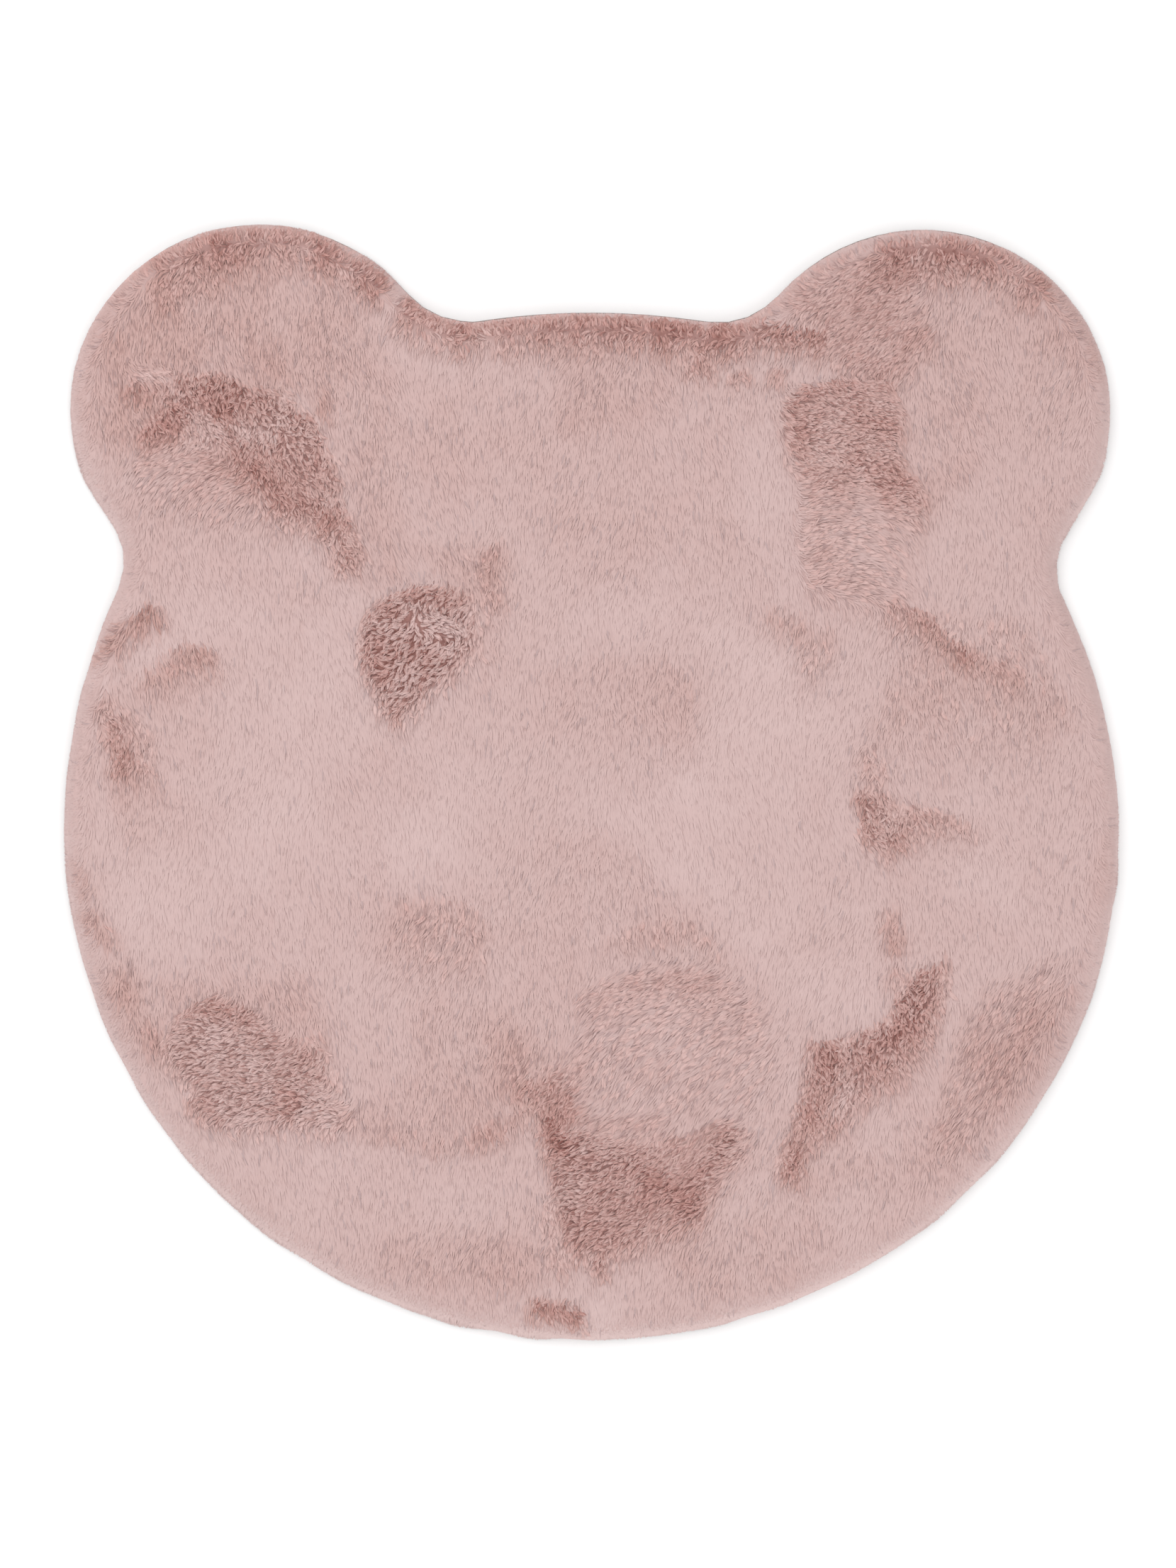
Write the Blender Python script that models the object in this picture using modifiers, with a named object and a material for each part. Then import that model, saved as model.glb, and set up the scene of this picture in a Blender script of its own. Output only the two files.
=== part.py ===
"""A flat kids' rug of deep faux fur, cut to the outline of a round-eared animal's head.

Two solids, in metres, +Z up: the backing cloth that lies on the floor, and the fur on it, whose
upper edge rounds over where the pile falls off the rim. The nap runs towards the chin (-Y), so the
fur reaches past the backing there, and is flush with it along the tops of the ears and the head.
The origin is on the floor, at the middle of the outline's box, and +Y points to the ears.
"""
import math
from collections import namedtuple

import bmesh
import bpy
import numpy as np

# Driving dimensions, in metres
RUG_WIDTH = 0.851
RUG_LENGTH = 0.900
RUG_HEIGHT = 0.025
BACKING_THICKNESS = 0.0012
LAYER_GAP = 0.0003
FUR_UPPER_ROUND = 0.013
FUR_LOWER_ROUND = 0.002
# How far inside the fur's outline the backing ends at the sides: nothing at the top, twice at the chin
BACKING_MARGIN = 0.003

# How finely the outline and the rounded edge are cut into flat faces
OUTLINE_POINTS = 200
ROUND_SEGMENTS = 5
ARC_STEP = 0.001
JOIN_SMOOTHING = 0.006
WELD_DISTANCE = 0.00001

# The cutting template, counter-clockwise from the chin: one row for each arc, in millimetres from
# the template's centre. A negative radius is a hollow, whose centre lies outside the rug. An arc
# ends where the outline faces end_bearing, in degrees from +X, and the next one starts there.
Arc = namedtuple("Arc", "name centre_x centre_y radius end_bearing")
START_BEARING = -89
TEMPLATE = [
    Arc("chin, right half", 1, -10, 439, -54),
    Arc("lower right", 21, -39, 404, 10),
    Arc("right cheek", -14, -44, 439, 28),
    Arc("right waist", 428, 174, -54, -37),
    Arc("right ear, side", 271, 299, 147, 58),
    Arc("right ear, top", 266, 291, 156, 141),
    Arc("right dip", 102, 430, -58, 82),
    Arc("top of the head", -2, -222, 602, 100),
    Arc("left dip", -101, 434, -61, 42),
    Arc("left ear, top", -270, 291, 160, 119),
    Arc("left ear, side", -276, 303, 146, 220),
    Arc("left waist", -430, 179, -51, 156),
    Arc("left cheek", 34, -38, 461, 179),
    Arc("lower left", -17, -36, 410, 246),
    Arc("chin, left half", 0, 0, 450, 271),
]
MM = 0.001

# Linear colours
FUR_COLOUR = (0.62, 0.42, 0.40, 1.0)
BACKING_COLOUR = (0.50, 0.44, 0.41, 1.0)


def arc_points(arc, start_bearing):
    """Points along one arc of the template, a step apart, from one bearing to the next."""
    turn = math.radians(arc.end_bearing - start_bearing)
    count = max(2, round(abs(turn * arc.radius) * MM / ARC_STEP))
    share = (np.arange(count) + 0.5) / count
    bearing = math.radians(start_bearing) + turn * share
    x = arc.centre_x + arc.radius * np.cos(bearing)
    y = arc.centre_y + arc.radius * np.sin(bearing)
    return np.stack([x, y], axis=1) * MM


def evenly_spaced(points, count):
    """The closed line through the points, cut into count equal lengths."""
    closed = np.vstack([points, points[:1]])
    run = np.concatenate([[0.0], np.cumsum(np.linalg.norm(np.diff(closed, axis=0), axis=1))])
    stops = np.linspace(0.0, run[-1], count, endpoint=False)
    return np.stack([np.interp(stops, run, closed[:, axis]) for axis in (0, 1)], axis=1)


def smoothed(points, reach):
    """Each point of the closed line moved to the mean of its neighbours on both sides."""
    shifted = [np.roll(points, step, axis=0) for step in range(-reach, reach + 1)]
    return np.mean(shifted, axis=0)


def rug_outline():
    """The rug's outline, counter-clockwise, fitted to its width and length about the origin."""
    pieces = []
    bearing = START_BEARING
    for arc in TEMPLATE:
        pieces.append(arc_points(arc, bearing))
        bearing = arc.end_bearing
    line = np.concatenate(pieces)
    line = evenly_spaced(line, len(line))
    line = smoothed(line, round(JOIN_SMOOTHING / ARC_STEP))
    line = evenly_spaced(line, OUTLINE_POINTS)
    low, high = line.min(axis=0), line.max(axis=0)
    return (line - (low + high) / 2) * np.array([RUG_WIDTH, RUG_LENGTH]) / (high - low)


def outward_normals(line):
    """The outward direction at each point of a counter-clockwise line."""
    along = np.roll(line, -1, axis=0) - np.roll(line, 1, axis=0)
    along /= np.linalg.norm(along, axis=1, keepdims=True)
    return np.stack([along[:, 1], -along[:, 0]], axis=1)


def backing_outline(line):
    """The rug's outline drawn in by the margin all round, then moved up by it to meet the top."""
    return line - outward_normals(line) * BACKING_MARGIN + np.array([0.0, BACKING_MARGIN])


def flat_piece(name, line, bottom, top, collection):
    """A plate of the given outline, between two heights."""
    curve = bpy.data.curves.new(name, "CURVE")
    curve.dimensions = "2D"
    curve.fill_mode = "BOTH"
    curve.extrude = (top - bottom) / 2
    spline = curve.splines.new("POLY")
    spline.points.add(len(line) - 1)
    for point, (x, y) in zip(spline.points, line):
        point.co = (x, y, 0.0, 1.0)
    spline.use_cyclic_u = True
    plate = bpy.data.objects.new(name, curve)
    plate.location.z = (top + bottom) / 2
    collection.objects.link(plate)
    return plate


def made_mesh(plate, collection):
    """The plate as a closed mesh with one face on each side, in place of its curve."""
    bpy.context.view_layer.update()
    evaluated = plate.evaluated_get(bpy.context.evaluated_depsgraph_get())
    mesh = bpy.data.meshes.new_from_object(evaluated)
    name = plate.name
    matrix = plate.matrix_world.copy()
    bpy.data.objects.remove(plate)
    mesh.name = name
    shape = bmesh.new()
    shape.from_mesh(mesh)
    bmesh.ops.remove_doubles(shape, verts=shape.verts, dist=WELD_DISTANCE)
    shape.normal_update()
    inner = [edge for edge in shape.edges if all(abs(face.normal.z) > 0.9 for face in edge.link_faces)]
    bmesh.ops.dissolve_edges(shape, edges=inner, use_verts=False)
    shape.to_mesh(mesh)
    shape.free()
    solid = bpy.data.objects.new(name, mesh)
    solid.matrix_world = matrix
    collection.objects.link(solid)
    return solid


def round_rims(solid):
    """Round the upper and the lower rim, each with its own radius."""
    mesh = solid.data
    weight = mesh.attributes.new("bevel_weight_edge", "FLOAT", "EDGE")
    for edge in mesh.edges:
        heights = [mesh.vertices[index].co.z for index in edge.vertices]
        if min(heights) > 0:
            weight.data[edge.index].value = 1.0
        elif max(heights) < 0:
            weight.data[edge.index].value = FUR_LOWER_ROUND / FUR_UPPER_ROUND
    mesh.shade_smooth()
    bevel = solid.modifiers.new("rounded rims", "BEVEL")
    bevel.limit_method = "WEIGHT"
    bevel.width = FUR_UPPER_ROUND
    bevel.segments = ROUND_SEGMENTS
    bevel.use_clamp_overlap = False


def cloth_material(name, colour, roughness):
    """A plain matt textile finish."""
    material = bpy.data.materials.new(name)
    material.use_nodes = True
    shader = material.node_tree.nodes["Principled BSDF"]
    shader.inputs["Base Color"].default_value = colour
    shader.inputs["Roughness"].default_value = roughness
    shader.inputs["Metallic"].default_value = 0.0
    return material


def main():
    for leftover in list(bpy.data.objects):
        bpy.data.objects.remove(leftover)
    collection = bpy.data.collections.new("kids rug")
    bpy.context.scene.collection.children.link(collection)

    outline = rug_outline()
    backing = flat_piece("backing", backing_outline(outline), 0.0, BACKING_THICKNESS, collection)
    backing.data.materials.append(cloth_material("backing cloth", BACKING_COLOUR, 0.95))

    fur_bottom = BACKING_THICKNESS + LAYER_GAP
    plate = flat_piece("pile", outline, fur_bottom, RUG_HEIGHT, collection)
    pile = made_mesh(plate, collection)
    round_rims(pile)
    pile.data.materials.append(cloth_material("faux fur", FUR_COLOUR, 0.85))


main()
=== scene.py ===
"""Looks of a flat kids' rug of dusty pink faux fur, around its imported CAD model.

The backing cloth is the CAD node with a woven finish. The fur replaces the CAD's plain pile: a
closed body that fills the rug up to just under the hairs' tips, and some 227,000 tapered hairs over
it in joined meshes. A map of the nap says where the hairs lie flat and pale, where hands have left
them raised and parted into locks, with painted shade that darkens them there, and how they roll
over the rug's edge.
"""
import math
from collections import namedtuple

import bmesh
import bpy
import mathutils
import numpy as np
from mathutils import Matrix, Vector


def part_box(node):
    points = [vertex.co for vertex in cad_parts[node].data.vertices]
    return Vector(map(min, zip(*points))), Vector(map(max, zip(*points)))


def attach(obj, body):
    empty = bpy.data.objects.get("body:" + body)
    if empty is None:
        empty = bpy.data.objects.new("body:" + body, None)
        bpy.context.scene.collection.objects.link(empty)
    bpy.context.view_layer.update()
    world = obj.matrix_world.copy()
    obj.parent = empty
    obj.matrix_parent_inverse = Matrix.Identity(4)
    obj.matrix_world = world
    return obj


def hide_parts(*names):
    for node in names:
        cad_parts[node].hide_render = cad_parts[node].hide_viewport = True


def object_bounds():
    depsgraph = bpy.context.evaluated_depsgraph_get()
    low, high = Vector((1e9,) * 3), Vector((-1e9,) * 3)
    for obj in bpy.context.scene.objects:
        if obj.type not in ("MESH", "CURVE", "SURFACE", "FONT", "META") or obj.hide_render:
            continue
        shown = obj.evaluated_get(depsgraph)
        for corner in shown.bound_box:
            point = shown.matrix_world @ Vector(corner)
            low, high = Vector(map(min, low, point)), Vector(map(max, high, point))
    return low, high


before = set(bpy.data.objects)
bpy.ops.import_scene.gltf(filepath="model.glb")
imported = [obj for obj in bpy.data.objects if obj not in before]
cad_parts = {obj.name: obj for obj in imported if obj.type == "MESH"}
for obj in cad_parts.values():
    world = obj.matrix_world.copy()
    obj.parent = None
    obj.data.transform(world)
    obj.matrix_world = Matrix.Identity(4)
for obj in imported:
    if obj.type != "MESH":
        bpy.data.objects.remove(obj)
cad_low, cad_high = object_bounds()

# Sizes are in metres if nothing else is said, in the frame's axes: +Z up, +Y towards the ears.
# Bearings are in degrees, counter-clockwise from +X as seen from above.
MM = 0.001
RUG_WIDTH, RUG_LENGTH, _ = cad_high - cad_low
FUR_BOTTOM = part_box("pile")[0][2]
# Keeps divisions finite
TINY = 0.1 * MM

# The photograph's frame, the rug's length and the rug's centre in it, in pixels
PHOTO_WIDTH = 1659
PHOTO_HEIGHT = 2212
PHOTO_RUG_LENGTH = 1574
PHOTO_RUG_CENTRE = (835, 1104)
# The camera's height over the rug's rim, and its sensor's size in millimetres
CAMERA_HEIGHT = 3.2
SENSOR = 36.0

# The nap map: square cells over the whole rug, and the bearing of fur that no hand has combed
CELL = 2 * MM
MAP_REACH = 0.47
NAP_BEARING = 270
# Layers of noise over the map: how much each adds, how wide its lumps are, and its seed. The nap's
# two are in degrees.
NAP_WANDER = ((16, 0.11, 1), (11, 0.035, 2), (7, 0.012, 3))
NAP_CURL = ((45, 0.02, 8), (35, 0.009, 9))
MARK_RAGGED = ((0.5, 0.016, 4), (0.4, 0.007, 5))
LIFT_PLAIN = ((0.05, 0.06, 6), (0.035, 0.025, 7))
LIFT_LOCKS = ((0.16, 0.017, 10), (0.16, 0.008, 11))
LIFT_MARKED = ((0.22, 0.045, 13), (0.25, 0.018, 14))
GAP_SHADOWS_PATCHY = ((0.12, 0.03, 12),)
EDGE_WAVER = ((1.0, 0.03, 15),)
HEIGHT_PLAIN = ((0.5 * MM, 0.05, 21), (0.3 * MM, 0.02, 22))
HEIGHT_LOCKS = ((1.2 * MM, 0.008, 23), (0.8 * MM, 0.005, 24))
# The lift and the locks of fur that no hand has marked
PLAIN_LIFT = 0.13
PLAIN_LOCKS = 0.03
# How many dark gap hairs, painted shadows between wisps, raised fur has, and the most lift that has none
GAP_SHADOWS_OF_LIFT = 1.2
LIFT_WITHOUT_GAP_SHADOWS = 0.02
# How tangled combed locks are
COMBED_TANGLE = 0.5
# How far the maps are softened
LOCKS_SOFT = 5 * MM
TANGLE_SOFT = 3 * MM
NAP_SOFT = 4 * MM
GAP_SHADOWS_SOFT = 9 * MM
# How far inside the edge these maps begin, and how far inside they are whole
LOCKS_INSIDE = (0, 4 * MM)
LIFT_INSIDE = (1 * MM, 9 * MM)
GAP_SHADOWS_INSIDE = (4 * MM, 9 * MM)
# The least slope of the distance inside the edge, for the way out
LEAST_SLOPE = 0.2

# How far a mark reaches, in widths, and how fast a stroke fades across its width
MARK_REACH = 3
STROKE_FADE = 0.9
# How ragged a mark's edge is, as a share of its width, and the most width that counts, in millimetres
RAGGED_SHARE = 0.6
RAGGED_WIDTH = 8
# How much weaker an area is away from its heavy side, and how much crisper a mark's edge is on it
HEAVY_FADE = 0.75
CRISP_SIDE = 0.65

# The fur's body: its cells, its height where the nap lies flat, and how it falls away at the rim
BODY_CELL = 3.6 * MM
BODY_JITTER = 0.15
FLAT_HEIGHT = 19.8 * MM
RIM_HEIGHT = 1.8 * MM
RIM_ROUND = 19 * MM
RIM_INSET = 1.2 * MM
# Its rings of points along the outline: how far in they are and how far the cells keep from the last,
# in millimetres, and how far apart the points are
RIM_RINGS = (1.3, 1.6, 2.1, 2.9, 4.0, 5.4, 7.2, 9.4, 12.2)
RINGS_CLEAR = 2.2
RING_STEP = 1.3 * BODY_CELL
# How much painted shade darkens the body under raised hairs and between locks
SHADE_OF_LIFT = 0.4
SHADE_OF_LOCKS = 0.8

# How far inside the edge the hairs have turned outward, and how far inside they begin to
TURN_INSIDE = (7 * MM, 26 * MM)
# The outward direction's +Y where the chin begins, and how far hairs' tips pass the outline there
CHIN_SIDE = 0.3
CHIN_OVERHANG = 0.9 * MM
# How uneven the tips' line is, how much more at the chin, and how much from hair to hair
EDGE_UNEVEN = 1.2 * MM
CHIN_UNEVEN = 0.9 * MM
TIP_UNEVEN = 0.5 * MM
# Painted light: how much paler hairs are painted that turn over the edge, the outward +Y where that
# begins, and how far inside the edge it is whole and ends
RIM_PAINTED_LIGHT = 0.2
PAINTED_LIGHT_SIDE = 0.35
PAINTED_LIGHT_INSIDE = (2 * MM, 18 * MM)

# The hairs' UV map: u is their tone, and v runs from a root darkened by painted shade, or one without it,
# to the tip
HAIR_UV = "OFBake"
ROOT_SHADED = 0.02
ROOT_UNSHADED = 0.27
TIP_PLACE = 0.98
# A hair's half width in u, and the margins that tones and the map keep
ACROSS_HAIR = 0.012
TONE_MARGIN = 0.03
UV_MARGIN = 0.005

# Wisps of hairs, one row for each kind. A wisp grows from each point of a lattice, with the chance
# that the map named by where gives between none_at and all_at. spacing, length and width are in
# millimetres, and so are reach, how far a wisp's hairs lie to each side of its middle line, and
# stagger, how far their roots lie along it. shrink is how much shorter raised hairs are. shares are
# the segments' shares of the length, and taper is a hair's width at each joint. low and high are the
# joints' heights in millimetres over the fur's body, where the nap lies flat and where it is raised,
# and crown is how far the middle hairs stand over the outer ones there. gather draws the tips
# together, and swing is in degrees. tone is 1 in the palest hairs, and painted shade lowers it where
# hairs are raised, and parted is how much of it hairs lose as painted shade where they part into
# locks, or gain as painted light where it is negative. root is their roots' v: the lower it is, the
# more painted shade darkens the roots.
# The gap hairs are single dark hairs over the rest, which are painted shadows between wisps.
Kind = namedtuple(
    "Kind",
    "name finish parts where none_at all_at spacing hairs reach stagger length shrink width shares taper"
    " low high gather swing tone parted crown root",
    defaults=(0.0, 0.0, ROOT_UNSHADED),
)
KINDS = [
    Kind(
        "fur_flat", "flat", 3, where="locks", none_at=0.85, all_at=0.3,
        spacing=4.3, hairs=4, reach=3.2, stagger=5.0, length=17, shrink=0.3, width=1.35,
        shares=(0.5, 0.5), taper=(0.95, 1.0), low=(-0.2, 0.25, 0.2), high=(-0.6, 1.2, 1.4),
        gather=0.2, swing=5, tone=0.84,
    ),
    Kind(
        "fur_locks", "locks", 2, where="locks", none_at=0.1, all_at=0.5,
        spacing=3.5, hairs=6, reach=1.9, stagger=1.6, length=15, shrink=0.5, width=1.15,
        shares=(0.34, 0.36, 0.3), taper=(1.0, 1.0, 0.85), low=(-1.0, 0.3, 0.9, 1.0),
        high=(-1.5, 0.2, 1.5, 1.9), gather=0.5, swing=8, tone=0.92, parted=-0.1, crown=0.8,
        root=ROOT_SHADED,
    ),
    Kind(
        "fur_rim", "flat", 1, where="inside", none_at=15 * MM, all_at=10 * MM,
        spacing=2.9, hairs=4, reach=1.6, stagger=1.6, length=12, shrink=0.3, width=1.2,
        shares=(0.5, 0.5), taper=(0.95, 1.0), low=(-0.3, 0.4, 0.3), high=(-0.6, 1.2, 1.2),
        gather=0.3, swing=7, tone=0.86,
    ),
    Kind(
        "fur_gap_shadows", "gap_shadows", 1, where="gap_shadows", none_at=0.0, all_at=1.4,
        spacing=4.4, hairs=1, reach=0.0, stagger=1.0, length=13, shrink=0.55, width=1.15,
        shares=(0.35, 0.35, 0.3), taper=(0.4, 1.0, 0.7), low=(0.0, 0.45, 0.5, 0.45),
        high=(0.0, 1.5, 2.1, 1.9), gather=0.0, swing=10, tone=1.0, parted=0.45,
    ),
]
SEED = 11
# How far inside the edge wisps and hairs' roots keep, and how far wisps lie from the lattice's
# points, as a share of its spacing
WISPS_INSIDE = 2.0 * MM
ROOTS_INSIDE = 1.8 * MM
WISP_JITTER = 0.45
# How much they differ: ranges of size as shares of the kind's, how much more or less a wisp is
# raised, and the spread of hairs' tilt in degrees
WISP_LENGTHS = (0.8, 1.15)
HAIR_LENGTHS = (0.85, 1.1)
HAIR_WIDTHS = (0.7, 1.25)
WISP_STAND = 0.5
HAIR_TILT = 2.2
# Spreads, as the spread in plain fur and how much more it is where hairs are tangled, both in
# degrees, or where they part into locks. A wisp's swing adds to its kind's.
WISP_SWING = (0, 22)
WISP_BEND = (3, 16)
WISP_TONE = (0.008, 0.08)
HAIR_TONE = (0.007, 0.02)
HAIR_HEIGHT_MM = (0.04, 0.2)
# How much painted shade darkens raised hairs and a raised wisp's outer hairs, while painted light
# pales its middle ones, and how far the outer hairs tilt, in degrees, the last two for each
# millimetre of crown
HAIR_SHADE_OF_LIFT = 0.74
CROWN_SHADE_AND_LIGHT = 0.3
CROWN_TILT = 40
# How far over the floor hairs' middle lines and sides keep
LINE_CLEAR = 0.5 * MM
SIDE_CLEAR = 0.3 * MM

# Linear colours of hairs' roots, which are painted shade deep in the pile, from the darkest tone to the
# palest, and of each finish's tips: their darker tones are painted shade of raised hairs, and the gap
# hairs' finish is painted shadow between wisps
ROOT_SHADE_COLOURS = [
    (0.0, (0.19, 0.065, 0.052)), (0.45, (0.29, 0.12, 0.098)), (1.0, (0.40, 0.195, 0.172)),
]
TIP_COLOURS = {
    "flat": [
        (0.0, (0.33, 0.15, 0.125)), (0.45, (0.522, 0.324, 0.295)), (0.76, (0.562, 0.402, 0.385)),
        (0.86, (0.592, 0.436, 0.42)), (1.0, (0.68, 0.515, 0.495)),
    ],
    "locks": [
        (0.0, (0.335, 0.144, 0.119)), (0.45, (0.545, 0.314, 0.284)), (0.76, (0.598, 0.402, 0.376)),
        (1.0, (0.665, 0.478, 0.455)),
    ],
    "gap_shadows": [
        (0.0, (0.25, 0.10, 0.085)), (0.45, (0.37, 0.21, 0.19)), (0.88, (0.46, 0.335, 0.33)),
        (1.0, (0.48, 0.355, 0.35)),
    ],
}
BLACK = (0.0, 0.0, 0.0)
WHITE = (1.0, 1.0, 1.0)
# How fine the body's fluff, the backing's threads and its tone are
FLUFF_SCALE = 260.0
THREAD_SCALE = 260.0
CLOTH_TONE_SCALE = 14.0
# The floor's size, and how far it lies under the rug, so that no two faces fall together
FLOOR_SIZE = 12.0
FLOOR_DROP = 0.2 * MM
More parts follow.
